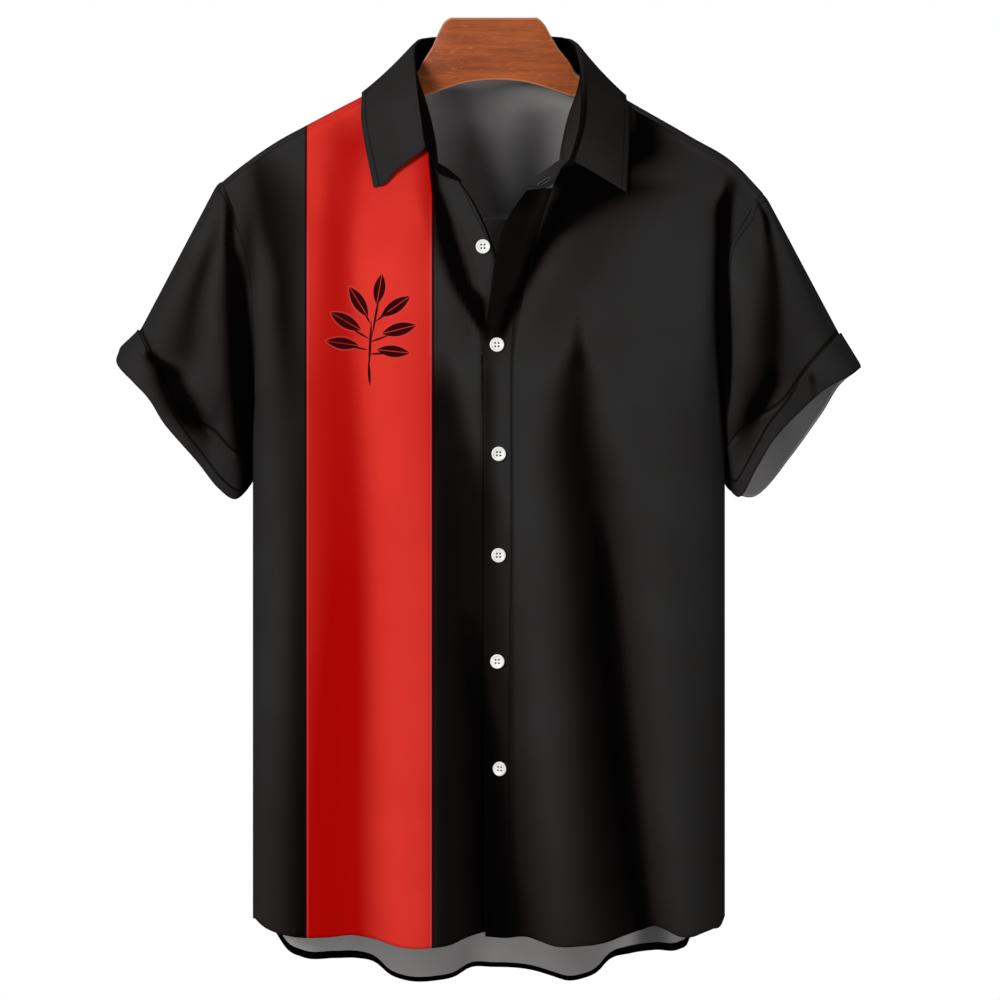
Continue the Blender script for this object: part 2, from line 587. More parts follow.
innerShades = [
    dict(z=[-63, -74, -84, -95, -105, -126, -147, -230], x=0,
         dark=[0.2, 0.38, 0.47, 0.48, 0.44, 0.25, 0.1, 0.0], left=300),
    dict(z=[-60, -70, -80, -90, -100], x=[28, 27, 26, 24, 22], dark=[0.0, 0.2, 0.2, 0.08, 0.0], left=24,
         right=30),
    dict(z=[-63, -74, -84, -95, -105, -126, -147, -168, -230], x=[40, 40, 38, 38, 37, 37, 37, 36, 36],
         dark=[0.0, 0.3, 0.6, 0.74, 0.82, 0.9, 0.94, 0.95, 0.95], left=[30, 30, 30, 30, 32, 38, 42, 44, 46],
         right=[28, 28, 28, 28, 31, 42, 50, 50, 50]),
    dict(z=[-63, -74, -84, -95, -120], x=[-32, -32, -30, -30, -30], dark=[0.75, 0.5, 0.22, 0.08, 0.0],
         left=30, right=26),
]
innerSpots = [
    dict(z=[-700, -760, -850], x=[144, 142, 141], dark=[0.0, 0.62, 0.66], left=16, sharp=4),
    dict(z=[-84, -105, -130, -160], x=[-16, -18, -18, -16], dark=[0.0, 0.2, 0.2, 0.1], left=7, right=9),
]
backShades = [
    dict(z=[-190, -800], x=[-120, -132], dark=[0.3, 0.9], left=[20, 26]),
    dict(z=[-190, -800], x=[-40, -8], dark=[0.3, 0.9], left=[18, 22]),
    dict(z=[-190, -800], x=[60, 112], dark=[0.3, 0.9], left=[18, 24]),
]
sleeveShades = dict(
    right=[
        dict(z=[-146, -170, -200, -210, -222, -240, -270, -300, -340, -375, -400, -420],
             x=[-229, -227, -226, -223, -220, -217.5, -215, -213, -210.5, -208.5, -207, -206],
             dark=[0.6, 1.0, 1.15, 1.2, 1.2, 1.2, 1.2, 1.2, 1.2, 1.2, 1.2, 1.2],
             left=[2, 4, 6, 9, 13, 16.5, 18.5, 19, 19, 16.5, 13.5, 14],
             right=[3, 5, 6, 6.5, 7, 7.5, 8.5, 9.5, 10, 10, 9.5, 9.5], sharp=4),
        dict(z=[-165, -190, -225], x=-212, dark=[0.3, 0.6, 0.6], left=7, right=9),
        dict(z=[-288, -296, -305, -320, -340, -351, -366], x=[-297, -292, -282, -275, -264, -257, -250],
             dark=[0.5, 1.2, 1.2, 1.2, 1.2, 1.1, 0.5], left=[4, 8, 14, 17, 19, 18, 13],
             right=[4, 6, 12, 13, 13, 11, 6], sharp=3),
        dict(z=[-185, -203, -220, -237, -255, -272, -290], x=[-238, -244, -250, -255, -259, -262, -265],
             dark=[0.3, 0.6, 0.75, 0.78, 0.75, 0.72, 0.66], left=[4, 6, 7, 9, 12, 15, 18],
             right=[4, 6, 7, 8, 9, 11, 12])],
    left=[
        dict(z=[-160, -168, -194, -237, -270, -300, -318, -342, -360],
             x=[232, 237, 243, 247.5, 247, 245.5, 244, 232, 222],
             dark=[0.4, 1.0, 0.92, 0.86, 0.86, 0.93, 1.15, 1.2, 0.8],
             left=[2, 2.5, 5, 12, 15, 16, 16, 15, 13], right=[2, 2.5, 4, 6, 8, 9, 10, 10, 10], sharp=2.4),
        dict(z=[-308, -315, -322], x=[277, 278.5, 280], dark=[0.3, 0.7, 0.5], left=[2, 3, 3]),
        dict(z=[-180, -230, -330, -350, -420], x=[205, 205, 205, 203, 202], dark=[0.4, 1.1, 1.2, 1.1, 1.1],
             left=9, right=[3, 4.5, 4.5, 4, 4], sharp=5),
        dict(z=[-225, -270, -300, -330], x=[238, 236, 233, 226], dark=[0.1, 0.3, 0.4, 0.4], left=11)])


shadeEnds = dict(above=12, below=25, hem=-799)


def ridgeShade(table, grid, top=0.97):
    # 1 on the rubbed ridges, 0 in the valleys; a band dies out at both ends unless it runs into the hem
    x, z = grid[..., 0], grid[..., 2]
    light = np.full(x.shape, top)
    for band in table:
        off = x - smooth(band, z, "x")
        right = "right" if "right" in band else "left"
        wide = np.where(off < 0, smooth(band, z, "left"), smooth(band, z, right))
        sharp = band.get("sharp", 2)
        power = np.where(off < 0, band.get("sharpLeft", sharp), sharp)
        low, high = min(band["z"]), max(band["z"])
        fade = np.clip((high + shadeEnds["above"] - z) / shadeEnds["above"], 0, 1)
        if low > shadeEnds["hem"]:
            fade = fade * np.clip((z - low + shadeEnds["below"]) / shadeEnds["below"], 0, 1)
        dark = smooth(band, z, "dark") * np.exp(-np.abs(off / wide) ** power) * fade
        light = light * (1 - np.clip(dark, 0, 1))
    return light


blackCloth = clothMaterial("blackCloth")
stripedCloth = clothMaterial("stripedCloth", striped=True)
frontInside = clothMaterial("frontInside", inside=True)
backInside = clothMaterial("backInside", inside=True, hemShown=True)
bandCloth = clothMaterial("bandCloth", stitches=[("left", 24.2)])
cuffCloth = clothMaterial("cuffCloth", stitches=[("seam", 0.0)])
sleeveCloth = clothMaterial("sleeveCloth", stitches=[("top", 6.5)])
collarCloth = clothMaterial("collarCloth", stitches=[("top", 5.5)])
standCloth = clothMaterial("standCloth", stitches=[("low", 3.0)], hole=buttonhole["at"])
print("materials ready")

collar = dict(
    station=list(range(23)),
    seamX=[-26, -36, -45, -45.2, -47.4, -52, -59.5, -71.5, -68, -60, -30, 7,
           45, 74, 84, 88.5, 73, 66.2, 61.4, 59.6, 56, 46, 33],
    seamZ=[-145.5, -142, -137, -124, -106, -86, -64, -52.3, -46, -49.6, -47, -46,
           -48, -53, -49.5, -56.3, -75, -92, -114, -130, -145, -151.5, -152.5],
    rollX=[-24.4, -35.5, -46, -55, -60, -63.4, -65.5, -66.5, -64.5, -56, -27, 6,
           38, 65, 74, 77, 79.5, 79.5, 77.5, 69, 61, 46, 31.5],
    rollZ=[-142.5, -133, -126, -115, -88, -63, -42, -30, -24.5, -19.5, -18, -17,
           -17.5, -19.5, -24.5, -31.5, -50, -72, -96, -124, -124.5, -135, -145],
    rollBack=[0, 0, -1, -5, -11, -13, -10, -3, 2, 6, 3, 2, 3, 6, 2, -3, -10, -13, -11, -5, -1, 0, 0],
    behind=(7, 15))
bandSeam = dict(
    z=[-810, -500, -420, -340, -310, -288, -245, -202, -163, -134.5],
    right=[-5.2, -5.2, -5.2, -5.2, -5.4, -6, -11, -21, -36.5, -46.5],
    left=[20, 20, 20, 20, 20.2, 21, 28, 37.5, 49, 58.5])
frontRows = dict(
    row=[0, 0.22, 0.42, 0.56, 0.66, 0.74, 0.80, 0.86, 0.91, 0.96, 1],
    innerZ=[-797, -600, -420, -290, -225, -175, -139, 0, 0, 0, 0],
    rightZ=[-784, -600, -440, -331, -256, -222, -205, -190, -177, -164, -149],
    leftZ=[-784, -600, -440, -331, -262, -215, -198, -188, -180, -171, -161])
bandEdge = dict(
    row=[0, 0.3, 0.55, 0.72, 0.80, 0.87, 0.94, 1],
    rightX=[20, 20, 20, 20, 11, 3, -12, -27],
    rightZ=[-797, -600, -420, -288, -232, -200, -165, -142],
    rightSeamZ=[-797, -600, -420, -288, -232, -201, -161, -132],
    leftX=[-5, -5, -5, -4.5, 0.5, 5, 15, 31.5],
    leftZ=[-797, -600, -420, -288, -240, -209, -176, -151.5],
    leftSeamZ=[-797, -600, -420, -288, -245, -213, -178, -149])


frontFit = dict(
    neckRow=0.8, neckAt=dict(right=2.2, left=19.8), neckStations=5.0, hemRow=0.22, gap=0.5, armGap=0.4,
    tuck=3.6, sink=1.1)
bandFit = dict(
    overlap=2.5, hemRow=0.2, width=27, foldAt=2, foldWidth=4, darkEdge=1.9,
    seamLow=dict(right=0.0, left=-0.9))


def frontGrid(side, hem, rows, cols):
    # rows run from the hem up; above the neck row they end on the collar's seam
    r = even(rows)
    s = np.sin(even(cols) * math.pi / 2)[None, :]
    arm = armRight if side == "right" else armLeft
    way = 1 if side == "right" else -1
    innerZ = np.interp(r, frontRows["row"], frontRows["innerZ"])
    innerX = smooth(bandSeam, innerZ, side) - way * frontFit["gap"]
    above = (r - frontFit["neckRow"]) / (1 - frontFit["neckRow"])
    at = frontFit["neckAt"][side] + way * above * frontFit["neckStations"]
    neck = above >= -0.025
    innerX = np.where(neck, smooth(collar, at, "seamX"), innerX)
    innerZ = np.where(neck, smooth(collar, at, "seamZ"), innerZ)
    outerZ = smooth(frontRows, r, side + "Z")
    outerX = smooth(arm, outerZ) - way * frontFit["armGap"] * (outerZ > body["armpit"] + 4)
    x = innerX[:, None] + (outerX - innerX)[:, None] * s
    z = innerZ[:, None] + (outerZ - innerZ)[:, None] * s
    high = np.clip(above, 0, 1)[:, None]
    low = np.clip(1 - r / frontFit["hemRow"], 0, 1)[:, None]
    z = z + high ** 1.5 * (shoulder(x[-1]) - frontFit["tuck"] - z[-1])
    z = z + low ** 1.5 * (smooth(hem, x[0], "z") - z[0])
    grid = onFront(x, z)
    grid[..., 1] += frontFit["sink"] * np.clip((z - shoulder(x) + 7) / 2.5, 0, 1)
    return grid


def bandGrid(side, hem, lift, rows, cols):
    r = even(rows)
    way = 1 if side == "right" else -1
    seamZ = smooth(bandEdge, r, side + "SeamZ")
    seamX = smooth(bandSeam, seamZ, side) - way * bandFit["overlap"]
    freeX = smooth(bandEdge, r, side + "X")
    freeZ = smooth(bandEdge, r, side + "Z")
    s = even(cols)[None, :]
    x = seamX[:, None] + (freeX - seamX)[:, None] * s
    z = seamZ[:, None] + (freeZ - seamZ)[:, None] * s
    z = z + np.clip(1 - r / bandFit["hemRow"], 0, 1)[:, None] * (smooth(hem, x[0], "z") - z[0])
    grid = onFront(x, z)
    if side == "left":
        grid = flip(grid)
        s = s[:, ::-1]
    low = bandFit["seamLow"][side]
    away = (s * bandFit["width"] - bandFit["foldAt"]) / bandFit["foldWidth"]
    raised = low + (lift - low) * np.clip(away, 0, 1)
    return grid + normals(grid) * raised[..., None]


grid = flip(frontGrid("right", hemRight, *meshes["front"]))
clothPiece("frontRight", grid, "front_right", stripedCloth, frontInside,
           ridgeShade(frontShades, grid))
grid = frontGrid("left", hemLeft, *meshes["front"])
clothPiece("frontLeft", grid, "front_left", blackCloth, frontInside,
           ridgeShade(frontShades, grid))
grid = bandGrid("right", hemRight, cloth["under"], *meshes["band"])
edge = runLengths(grid, 1)
edge = edge[:, -1:] - edge
clothPiece("bandRight", grid, "band_right", bandCloth, blackCloth,
           ridgeShade(frontShades, grid) * np.clip((edge - bandFit["darkEdge"]) / 0.6, 0, 1))
grid = bandGrid("left", hemLeft, cloth["lift"], *meshes["band"])
clothPiece("bandLeft", grid, "band_left", bandCloth, blackCloth,
           ridgeShade(frontShades + lapelShades, grid))
print("fronts made")

armGap = 0.5    # from the armhole's seam to the cloth of the back and the yoke
backRows = dict(row=[0, 0.3, 0.6, 0.78, 1], z=[-786, -600, -420, -331, body["yokeSeam"] + 1.2])
backFit = dict(hemRow=0.3, tuck=1.3, tuckAbove=-176.5, litBelow=-230, litOver=300, lit=0.78)
# How far down the yoke its first rows lie beside the armholes.
armDrops = dict(row=[0, 0.03, 0.06, 0.09, 0.13, 0.19], drop=[-4.2, -1.3, 0, 1.3, 4.5, 11])
yokeMiddle = (-103, 117)    # between these the yoke's columns run straight down


def backGrid(rows, cols):
    r = even(rows)[:, None]
    across = np.sin((even(cols) * 2 - 1) * math.pi / 2)[None, :]
    zSide = smooth(backRows, r, "z")
    left = smooth(armLeft, zSide) - armGap
    right = smooth(armRight, zSide) + armGap
    left = np.where(zSide < body["armpit"] + 1, armLeft["x"][-1], left)
    right = np.where(zSide < body["armpit"] + 1, armRight["x"][-1], right)
    x = (left + right) / 2 + (left - right) / 2 * across
    z = zSide + 0 * x
    z = z + np.clip(1 - r / backFit["hemRow"], 0, 1) ** 1.3 * (smooth(hemBack, x[0], "z") - z[0])
    return flip(onBack(x, z))


def yokePoint(x, drop):
    z = shoulder(x) - np.abs(drop)
    y = np.where(drop < 0, -depth(x, z, True), depth(x, z, False))
    return np.stack([x, y, z], axis=-1)


def yokeDrop(k, x, first):
    # how far down the yoke a row lies at x; the two sides share one set of rows near the shoulder line
    last = shoulder(x) - body["yokeSeam"]
    wide = first + (last - first) * k
    near = np.interp(k, armDrops["row"], armDrops["drop"])
    endRow, endDrop = armDrops["row"][-1], armDrops["drop"][-1]
    narrow = np.where(k < endRow, near, endDrop + (last - endDrop) * (k - endRow) / (1 - endRow))
    return np.where(first > armDrops["drop"][0] + 0.1, wide, narrow)


def yokeGrid(columns, rows):
    columns = np.asarray(columns, float)[None, :]
    k = np.asarray(rows, float)[:, None]
    inNeck = (columns > neckDrop["x"][0]) & (columns < neckDrop["x"][-1])
    first = np.where(inNeck, smooth(neckDrop, columns, "drop"), armDrops["drop"][0])
    limit = columns + 0 * k
    for _ in range(8):
        z = shoulder(limit) - np.abs(yokeDrop(k, limit, first))
        limit = np.where(columns < 0, smooth(armRight, z) + armGap, smooth(armLeft, z) - armGap)
    base = np.where(columns < 0, *yokeMiddle)
    end = np.where(columns < 0, columns[0, 0], columns[0, -1])
    outside = (columns < yokeMiddle[0]) | (columns > yokeMiddle[1])
    x = np.where(outside, base + (columns - base) / (end - base) * (limit - base), columns)
    return yokePoint(x, yokeDrop(k, x, first))


def spread(stops, between):
    # stops with even steps put in between each pair
    parts = [np.linspace(a, b, n, endpoint=False) for a, b, n in zip(stops, stops[1:], between)]
    return np.concatenate(parts + [[stops[-1]]])


grid = backGrid(*meshes["back"])
grid[..., 1] += backFit["tuck"] * np.clip((grid[..., 2] - backFit["tuckAbove"]) / 2.0, 0, 1)
lower = np.clip((backFit["litBelow"] - grid[..., 2]) / backFit["litOver"], 0, backFit["lit"])
clothPiece("back", grid, "back", blackCloth, backInside, ridgeShade(backShades, grid),
           innerRub=np.maximum(ridgeShade(innerShades, grid), lower) * ridgeShade(innerSpots, grid, 1))
yokeColumns = spread([-234, -103, -76, -60, 75, 92, 117, 238], [44, 12, 16, 45, 16, 10, 40])
yokeRows = spread([0, 0.09, 0.19, 1], [12, 10, 40])
grid = flip(yokeGrid(yokeColumns, yokeRows))[::-1]
clothPiece("yoke", grid, "yoke", stripedCloth, frontInside,
           ridgeShade(backShades, grid), innerRub=ridgeShade(innerShades + innerSpots, grid))
print("back and yoke made")

# Each sleeve has three rings: the armhole, the cuff's upper edge and the opening.
# A turn runs from the outer fold down the front to the underarm (1) and up the back (2).
cuffRings = dict(
    turn=[0, 0.12, 0.25, 0.4, 0.5, 0.6, 0.7, 0.8, 0.9, 1, 1.12, 1.25, 1.5, 1.75, 1.88, 2],
    edgeY=[0, -18, -34, -46, -49, -47, -40, -29, -15, 0, 18, 34, 48, 34, 18, 0],
    mouthY=[0, -16, -31, -42, -44, -42, -36, -26, -14, 0, 16, 31, 44, 31, 16, 0])
sleeves = dict(
    right=dict(
        cuffRings, arm=armRight, sign=-1,
        line=[1.3, 1.1, 0.98, 0.64, 0.38, 0.28, 0.25, 0.22, 0.3, 1.4, 1.4],
        edgeX=[-305, -301.5, -293, -280, -270, -252, -238, -224, -212, -206.9, -208.5, -219, -246, -281,
               -297, -305],
        edgeZ=[-274, -284, -302, -322, -338, -354, -363, -377, -382, -378, -372, -358, -322, -291,
               -279, -274],
        mouthX=[-322, -324, -310, -293, -281, -267, -252, -237, -222, -208.0, -212, -229, -262, -297,
                -313, -322],
        mouthZ=[-290, -302, -318, -336, -354, -372, -390, -409, -419, -405, -397, -384, -350, -314,
                -299, -290]),
    left=dict(
        cuffRings, arm=armLeft, sign=1,
        line=[1.3, 1.08, 0.977, 0.916, 0.6, 0.41, 0.32, 0.31, 0.4, 1.4, 1.4],
        edgeX=[304, 294.5, 281, 265, 253, 239, 227, 216, 208, 204.9, 206.5, 218, 243, 272, 289, 304],
        edgeZ=[-276, -286.5, -303, -321.5, -335.5, -345, -353, -361, -372, -378, -380, -383, -350, -310,
               -292, -276],
        mouthX=[322, 313, 299, 280.5, 264, 252, 241, 231, 218, 206.0, 211, 229, 262, 290, 304, 322],
        mouthZ=[-305, -312, -319, -332, -346, -360.5, -376.5, -394, -417, -406, -412, -417, -382, -343,
                -320, -305]))
seamTurn = [0, 0.36, 0.44, 0.5, 0.6, 0.7, 0.8, 0.9, 1, 1.2, 2]    # where each line value applies
# Folds down a sleeve: place round the turn at the cuff, how far out, half width, how early it starts.
sleeveFolds = [
    dict(turn=0.49, out=-8, wide=0.10, start=1.4),
    dict(turn=0.70, out=3.5, wide=0.09, start=2.0),
    dict(turn=0.27, out=3.5, wide=0.10, start=2.0),
    dict(turn=1.40, out=-6, wide=0.12, start=1.4),
    dict(turn=1.62, out=4, wide=0.12, start=1.6),
]
sleeveFit = dict(above=3.4, gap=0.4, tuck=3.0, under=1.7, top=1.4, bow=-9)
cuffShape = dict(lift=2.0, turnUp=4.0)


def ringAt(side, which, turn):
    return np.stack([smooth(side, turn, which + axis) for axis in "XYZ"], axis=-1)


def turnsOf(sign, cols):
    # where each column of a sleeve's grid lies on the turn
    turn = np.arange(cols) / cols * 2
    return turn[::-1] if sign > 0 else turn


def sleeveGrid(side, rows, cuffRows, cols):
    sign = side["sign"]
    turn = turnsOf(-1, cols)
    cos = np.cos(turn * math.pi)
    sin = np.sin(turn * math.pi)
    topZ = side["arm"]["z"][0] + sleeveFit["above"]
    z = topZ + (body["armpit"] - topZ) * (1 - cos) / 2
    x = smooth(side["arm"], z)
    y = np.where(sin >= 0, -depth(x, z, True), depth(x, z, False)) * np.minimum(np.abs(sin) * 4, 1)
    ring = np.stack([x + sign * sleeveFit["gap"], y, z], axis=-1)
    edge = ringAt(side, "edge", turn)
    mouth = ringAt(side, "mouth", turn)
    tuckX = x - sign * sleeveFit["tuck"]
    under = np.where(sin >= 0, depth(tuckX, z, True), depth(tuckX, z, False))
    under = np.maximum(under - sleeveFit["under"], 0)
    high = np.clip((cos - 0.8) / 0.1, 0, 1)
    tuckY = np.where(sin >= 0, -under, under) * np.minimum(np.abs(sin) * 4, 1)
    tuckZ = z + high * (shoulder(tuckX) - topZ - sleeveFit["top"])
    tuck = np.stack([tuckX, tuckY, tuckZ], axis=-1)
    grid = [tuck]
    for k in range(rows):
        t = k / rows
        bow = math.sin(t * math.pi) * np.array([0, sleeveFit["bow"], 0]) * sin[:, None]
        grid.append(ring * (1 - t) + edge * t + bow)
    for k in range(cuffRows):
        t = k / (cuffRows - 1)
        grid.append(edge * (1 - t) + mouth * t)
    grid = np.array(grid)
    return grid[:, ::-1] if sign > 0 else grid


def sleevePush(rows, turn):
    t = even(rows)[:, None]
    push = sum(f["out"] * np.exp(-((turn - f["turn"]) / f["wide"]) ** 2) * np.clip(t * f["start"], 0, 1)
               for f in sleeveFolds)
    return push * np.clip(t * 5, 0, 1) * (1 - 0.55 * np.clip((t - 0.7) / 0.3, 0, 1))


def blur(grid, passes):
    # evens out rows so the sleeve passes softly into its cuff
    for _ in range(passes):
        grid[1:-1] = (grid[:-2] + 2 * grid[1:-1] + grid[2:]) / 4
    return grid


rows, cuffRows, cols, softened = meshes["sleeve"].values()
for label, side in sleeves.items():
    grid = blur(sleeveGrid(side, rows, cuffRows, cols), softened)
    turn = turnsOf(side["sign"], cols)
    push = sleevePush(rows + 1 + cuffRows, turn)
    grid = (grid + normals(grid, True) * push[..., None])[::-1]
    rub = ridgeShade(sleeveShades[label], grid, 0.92)
    rub = np.where(grid[..., 1] < 2, rub, np.clip(0.75 + push[::-1] / 9.0, 0, 1))
    rub[cuffRows:cuffRows + 1] *= 0.1
    clothPiece("sleeve" + label.title(), grid, "sleeve_" + label, sleeveCloth, frontInside,
               rub, wrap=True)
    away = runLengths(grid, 0)[:cuffRows]
    lift = cuffShape["lift"] * np.sqrt(1 - (1 - np.clip(away / cuffShape["turnUp"], 0.1, 1)) ** 2)
    lift = lift * (1 - 0.5 * np.exp(-((turn - 1) / 0.1) ** 2))
    cuff = grid[:cuffRows] + normals(grid, True)[:cuffRows] * lift[..., None]
    line = away - away[-1:] * np.interp(turn, seamTurn, side["line"])
    rub = rub[:cuffRows].copy()
    rub[-3:] = np.where(rub[-3:] > 0.4, np.maximum(rub[-3:], 0.9), rub[-3:])
    clothPiece("cuff" + label.title(), cuff, "cuff_" + label, cuffCloth, frontInside,
               rub, wrap=True, innerRub=rub, seam=line)
print("sleeves made")

# The collar's free edge; side is -1 in front, 1 behind and 0 over the shoulder.
leaf = dict(
    station=[3, 4, 5, 6, 7, 8, 9, 10, 11, 12, 13, 14, 15, 16, 17, 18, 19],
    x=[-101, -108, -111.5, -112, -111.5, -107, -98, -50, 7, 64, 108, 116, 118.5, 120.5, 121, 120.5, 119],
    z=[-148, -114, -92, -81, -73, -70, -76, -68, -63, -70, -79, -72, -71, -78, -91, -113, -153],
    side=[-1, -1, -1, -1, -1, 0, 1, 1, 1, 1, 1, 0, -1, -1, -1, -1, -1])
leafFit = dict(front=3.2, back=4.2, above=3.8, lit=0.93)
standShade = dict(
    station=[0, 1.2, 2.4, 7, 8, 15.6, 17, 19, 20, 22],
    light=[0.05, 0.03, 0.03, 0.03, 0.0, 0.0, 0.7, 0.8, 0.95, 1])


def seamLine(at):
    x = smooth(collar, at, "seamX")
    z = smooth(collar, at, "seamZ")
    over = (at > collar["behind"][0]) & (at < collar["behind"][1])
    drop = smooth(neckDrop, x, "drop")
    return np.where(over[:, None], yokePoint(x, drop), onFront(x, z))


def rollLine(at):
    x = smooth(collar, at, "rollX")
    z = smooth(collar, at, "rollZ")
    y = seamLine(at)[:, 1] + smooth(collar, at, "rollBack")
    return np.stack([x, y, z], axis=-1)


def standGrid(at, rows):
    seam = seamLine(at)
    roll = rollLine(at)
    rise = roll - seam
    length = np.linalg.norm(rise, axis=1, keepdims=True)
    away = np.clip(np.minimum(at - 1.5, 20.5 - at), 0, 1) * ((at < 7.5) | (at > 14.5))
    low = seam + rise / length * 1.5 - away[:, None] * np.array([0, 1.2, 0])
    return np.array([low * (1 - k) + roll * k for k in even(rows)])


def onLeaf(x, z, front):
    # how far forward or back the leaf lies on the cloth under it
    if front:
        return -depth(x, z - 2, True) - leafFit["front"]
    return depth(x, z - 2, False) + leafFit["back"]


def leafGrid(at, rows):
    roll = rollLine(at)
    x = smooth(leaf, at, "x")
    z = smooth(leaf, at, "z")
    side = np.interp(at, leaf["station"], leaf["side"])
    z = np.where(np.abs(side) < 0.99, np.maximum(z, shoulder(x) + leafFit["above"]), z)
    y = np.where(side < 0, onLeaf(x, z, True), onLeaf(x, z, False)) * np.abs(side)
    edge = np.stack([x, y, z], axis=-1)
    up = roll - seamLine(at)
    up = up / np.linalg.norm(up, axis=1, keepdims=True)
    out = np.cross(np.gradient(roll, axis=0), up)
    out = out / np.linalg.norm(out, axis=1, keepdims=True)
    out = out * np.sign(np.sum(out * (edge - roll), axis=1, keepdims=True))
    crown = roll + out * 2.8 + up * 0.5
    lines = [roll + up * 0.6 - out * 0.8, roll + up * 1.9, roll + up * 2.2 + out * 1.4, crown]
    for k in even(rows)[1:]:
        line = crown * (1 - k) + edge * k + (out * -1.5 + up * 0.5) * math.sin(math.pi * k)
        front = onLeaf(line[:, 0], line[:, 2], True)
        back = onLeaf(line[:, 0], line[:, 2], False)
        line[:, 1] = np.where(side < -0.4, np.minimum(line[:, 1], front),
                              np.where(side > 0.4, np.maximum(line[:, 1], back), line[:, 1]))
        over = np.maximum(line[:, 2], shoulder(line[:, 0]) + leafFit["above"])
        line[:, 2] = np.where(np.abs(side) <= 0.6, over, line[:, 2])
        line[:, 2] -= 4.5 * math.exp(-((k - 0.8) / 0.14) ** 2) * np.clip(1 - (at - 3) / 0.7, 0, 1)
        lines.append(line)
    return np.array(lines)


cols, rows = meshes["stand"]
at = np.linspace(collar["station"][0], collar["station"][-1], cols)
grid = standGrid(at, rows)
hidden = np.interp(at, standShade["station"], standShade["light"])
rub = np.tile(hidden, (rows, 1))
rub[0] = np.maximum(rub[0], 0.8)
clothPiece("collarStand", grid, "collar_stand", standCloth, standCloth, rub,
           innerRub=rub)
cols, rows = meshes["leaf"]
at = np.linspace(leaf["station"][0], leaf["station"][-1], cols)
grid = leafGrid(at, rows)
rub = np.full(grid.shape[:2], leafFit["lit"])
rub[1:5] *= 1 - 0.75 * np.clip((at - 16) / 1.2, 0, 1)    # the fold towards the left point is darker
rub[0] = 0
rub = rub * (1 - 0.3 * np.clip((at - 13) / 2, 0, 1))     # and so is the left half
clothPiece("collarLeaf", grid, "collar_leaf", collarCloth, blackCloth, rub)
print("collar made")

buttons = dict(
    at=[(-6.1, -200), (6.0, -285.6), (7.6, -380), (7.6, -468), (7.2, -560), (10.2, -653)],
    radius=[0, 5.4, 6.0, 6.25, 6.25, 6.1, 5.7, 5.2, 4.75, 4.3, 3.8, 0],
    height=[0, 0, 0.25, 0.7, 1.7, 2.15, 2.4, 2.4, 2.2, 1.8, 1.6, 1.6],
    rise=1.1, sides=48, light=(0.82, 0.82, 0.80), dark=(0.72, 0.72, 0.70), rough=(0.22, 0.32),
    holeRadius=0.8, holeAt=2.0, holeDepth=6, holeSides=16)


def buttonMaterial():
    material, tree, shader = newTree("buttonResin")
    place = tree.nodes.new("ShaderNodeTexCoord").outputs["Object"]
    swirl = noise(place, 160.0, 3.0)
    colour = mixColour(ramp(swirl, 0.35, 0.65), buttons["dark"], buttons["light"])
    rough = ramp(swirl, 0.3, 0.7, *buttons["rough"])
    feed([shader.inputs["Base Color"], shader.inputs["Roughness"]], colour, rough)
    return material


def lathe(radius, height, count):
    # a round solid from its radius at each height, closed by a point at both ends
    pts = [(0, 0, height[0])]
    for r, h in zip(radius[1:-1], height[1:-1]):
        for i in range(count):
            a = 2 * math.pi * i / count
            pts.append((r * math.cos(a), r * math.sin(a), h))
    pts.append((0, 0, height[-1]))
    faces = []
    rings = len(radius) - 2
    for i in range(count):
        j = (i + 1) % count
        faces.append((0, 1 + j, 1 + i))
        for k in range(rings - 1):
            a = 1 + k * count
            faces.append((a + i, a + j, a + count + j, a + count + i))
        a = 1 + (rings - 1) * count
        faces.append((a + i, a + j, len(pts) - 1))
    return pts, faces


def frameAt(x, z):
    # a point on the front of the cloth, with the directions sideways, up and out of it
    step = 2.0
    p = onFront(x, z)
    side = onFront(x + step, z) - onFront(x - step, z)
    up = onFront(x, z + step) - onFront(x, z - step)
    n = np.cross(side, up)
    n = n / np.linalg.norm(n)
    up = up / np.linalg.norm(up)
    return p, np.cross(up, n), up, n


buttonLook = buttonMaterial()


def makeButton(name, node, x, z, height):
    # turned, drilled four times, and then laid on the cloth
    pts, faces = lathe(buttons["radius"], buttons["height"], buttons["sides"])
    p, sideways, up, n = frameAt(x, z)
    p = p + n * height
    piece = plainPiece(name, pts, faces, buttonLook, "button_resin", node)
    wide, deep = buttons["holeRadius"], buttons["holeDepth"]
    ends, sides = lathe([0, wide, wide, 0], [-deep, -deep, deep, deep], buttons["holeSides"])
    for k in range(4):
        a = math.pi / 4 + k * math.pi / 2
        cx = buttons["holeAt"] * math.cos(a)
        cy = buttons["holeAt"] * math.sin(a)
        mesh = bpy.data.meshes.new("hole")
        mesh.from_pydata([((q[0] + cx) * mm, (q[1] + cy) * mm, q[2] * mm) for q in ends], [], sides)
        drill = bpy.data.objects.new("hole", mesh)
        bpy.context.scene.collection.objects.link(drill)
        cut = piece.modifiers.new("hole", "BOOLEAN")
        cut.solver = "EXACT"
        cut.operation = "DIFFERENCE"
        cut.object = drill
        solid = bpy.data.meshes.new_from_object(piece.evaluated_get(bpy.context.evaluated_depsgraph_get()))
        piece.modifiers.clear()
        piece.data = solid
        bpy.data.objects.remove(drill, do_unlink=True)
    for v in piece.data.vertices:
        v.co = (p + (sideways * v.co.x + up * v.co.y + n * v.co.z) / mm) * mm
    piece.data.update()


for i, (x, z) in enumerate(buttons["at"]):
    rest = cloth["lift" if i else "under"] + buttons["rise"]
    makeButton("button%d" % (i + 1), "button_%d" % (i + 1), x, z, rest)
print("buttons made")

